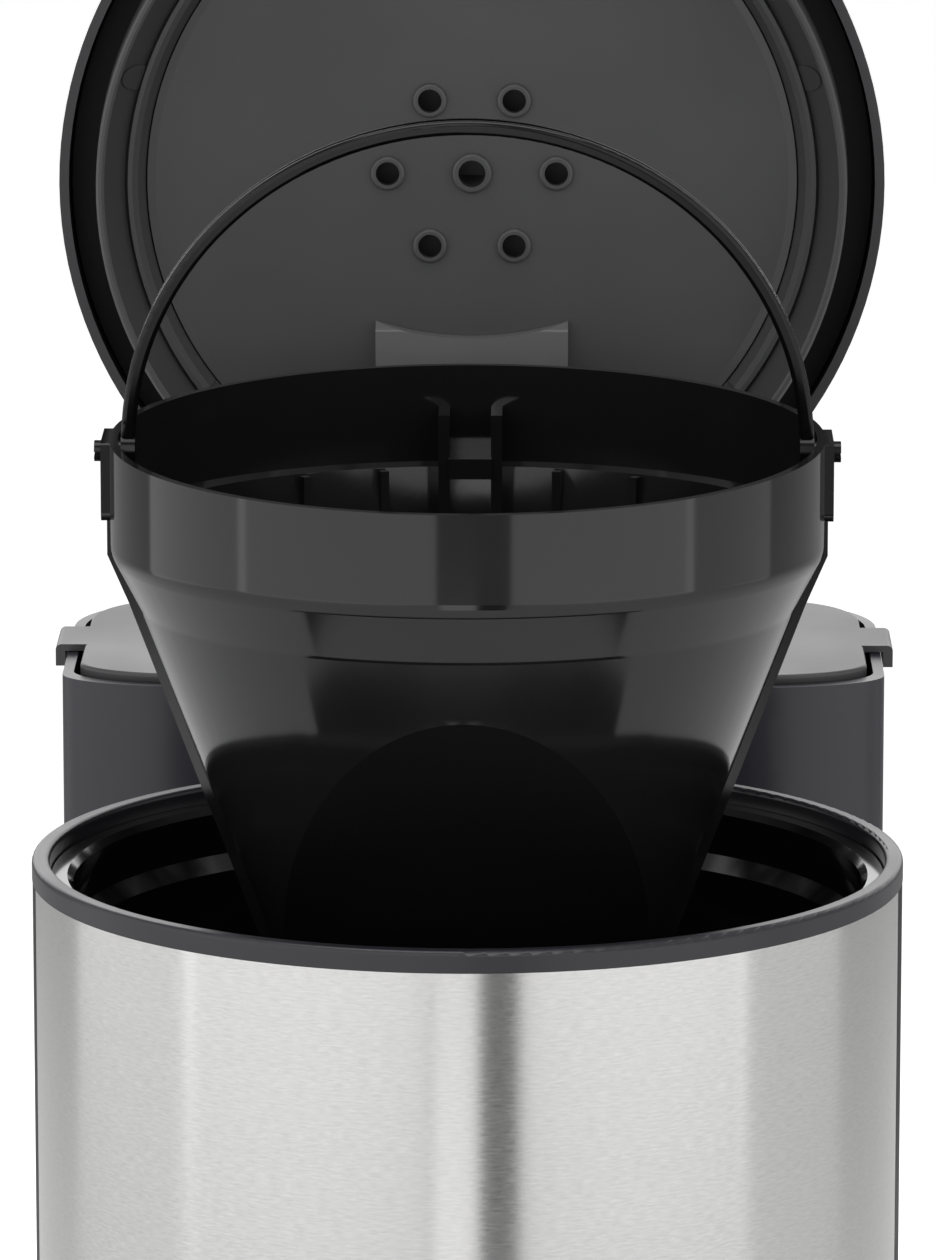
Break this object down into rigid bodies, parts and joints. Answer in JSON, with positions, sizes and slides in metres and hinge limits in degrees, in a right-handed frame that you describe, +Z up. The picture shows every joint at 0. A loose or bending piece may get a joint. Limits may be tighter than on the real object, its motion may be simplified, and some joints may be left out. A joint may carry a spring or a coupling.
{
  "type": "drip coffee maker",
  "caption": "Drip coffee maker with a hinged round lid, a lift-out cone basket with a bail, a rear water tank, a warming plate and a glass jug.",
  "frame": {"origin": "on the table under the middle of the whole machine's box, jug handle included, with the lid open and the basket lifted", "axes": "+Z up, -Y towards the front, where the button and the jug handle are, +X to the right seen from the front"},
  "size_m": [0.1742, 0.303, 0.5391],
  "materials": {
    "casing": "satin",
    "casing_plain": "fine texture",
    "rubber": "matte",
    "steel": "bright",
    "plate_black": "non-stick coating",
    "aluminium": "as drawn",
    "chrome": "plated",
    "board": "solder mask",
    "light_ring": "translucent",
    "black_plain": "satin",
    "silicone": "satin",
    "trim_black": "satin",
    "brushed_steel": "horizontally brushed",
    "ring_grey": "satin",
    "gloss_black": "polished",
    "lid_grey": "satin",
    "lid_inner": "polished",
    "basket_black": "polished",
    "bail_black": "satin",
    "tank_smoke": "smoked, satin",
    "tank_lid_grey": "satin",
    "glass": "clear",
    "jug_plastic": "satin"
  },
  "bodies": {
    "casing": {"base_shell": "casing", "base_cover": "casing_plain", "feet": "rubber", "base_screws": "steel", "warming_plate": "plate_black", "plate_seal": "rubber", "heater_tube": "aluminium", "thermostat": "chrome", "thermal_fuses": "chrome", "circuit_board": "board", "light_ring": "light_ring", "cord_gland": "rubber", "column_shell": "casing", "back_cover": "casing_plain", "cover_screws": "steel", "spine": "casing_plain", "hinge_pins": "steel", "tank_socket": "black_plain", "socket_seal": "silicone", "inlet_hose": "silicone", "check_valve": "black_plain", "riser_tube": "silicone", "hose_clips": "steel", "water_spout": "silicone", "head_shell": "trim_black", "steel_jacket": "brushed_steel", "top_ring": "ring_grey", "funnel": "gloss_black"},
    "lid": {"lid_cap": "lid_grey", "lid_liner": "lid_inner", "shower_plate": "lid_inner", "channel_cover": "lid_inner", "water_channel": "black_plain", "inlet_seal": "silicone", "lid_screws": "steel"},
    "basket": {"basket": "basket_black", "drip_spring": "steel"},
    "bail": {"bail_handle": "bail_black"},
    "drip": {"drip_plunger": "black_plain", "drip_seal": "silicone"},
    "tank": {"tank": "tank_smoke", "tank_seal": "silicone", "tank_valve_cage": "black_plain", "tank_valve_spring": "steel"},
    "tank_lid": {"tank_lid": "tank_lid_grey"},
    "tank_valve": {"tank_valve": "black_plain"},
    "button": {"power_button": "casing", "button_spring": "steel"},
    "jug": {"jug_glass": "glass", "jug_band": "brushed_steel", "jug_handle": "jug_plastic", "band_screw": "steel"},
    "jug_lid": {"jug_lid": "jug_plastic"}
  },
  "joints": [
    {"name": "lid_hinge", "type": "hinge", "parent": "casing", "child": "lid", "pos_m": [0, 0.067, 0.3566], "axis": [1, 0, 0], "range_deg": [0, 90]},
    {"name": "basket_lift", "type": "slide", "parent": "casing", "child": "basket", "axis": [0, 0, -1], "range_m": [0, 0.105]},
    {"name": "bail_fold", "type": "hinge", "parent": "basket", "child": "bail", "pos_m": [0, -0.0335, 0.4174], "axis": [1, 0, 0], "range_deg": [0, 70]},
    {"name": "drip_stop", "type": "slide", "parent": "basket", "child": "drip", "axis": [0, 0, 1], "range_m": [0, 0.003], "stiffness_N_per_m": 300, "springref_m": -0.004, "deforming": ["drip_spring"]},
    {"name": "tank_lift", "type": "slide", "parent": "casing", "child": "tank", "axis": [0, 0, 1], "range_m": [0, 0.12]},
    {"name": "tank_lid_lift", "type": "slide", "parent": "tank", "child": "tank_lid", "axis": [0, 0, 1], "range_m": [0, 0.05]},
    {"name": "tank_valve_lift", "type": "slide", "parent": "tank", "child": "tank_valve", "axis": [0, 0, 1], "range_m": [0, 0.003], "stiffness_N_per_m": 200, "springref_m": -0.004, "deforming": ["tank_valve_spring"]},
    {"name": "power_press", "type": "slide", "parent": "casing", "child": "button", "axis": [0, 1, 0], "range_m": [0, 0.0015], "stiffness_N_per_m": 600, "springref_m": -0.001},
    {"name": "jug_slide", "type": "slide", "parent": "casing", "child": "jug", "axis": [0, -1, 0], "range_m": [0, 0.18]},
    {"name": "jug_lid_turn", "type": "hinge", "parent": "jug", "child": "jug_lid", "pos_m": [0, -0.0335, 0.17], "axis": [0, 0, 1], "range_deg": [0, 30]}
  ],
  "couplings": [
    {"joint": "basket_lift", "follows": "lid_hinge", "m_per_rad": 0.066845},
    {"joint": "bail_fold", "follows": "lid_hinge", "ratio": 0.77778}
  ]
}
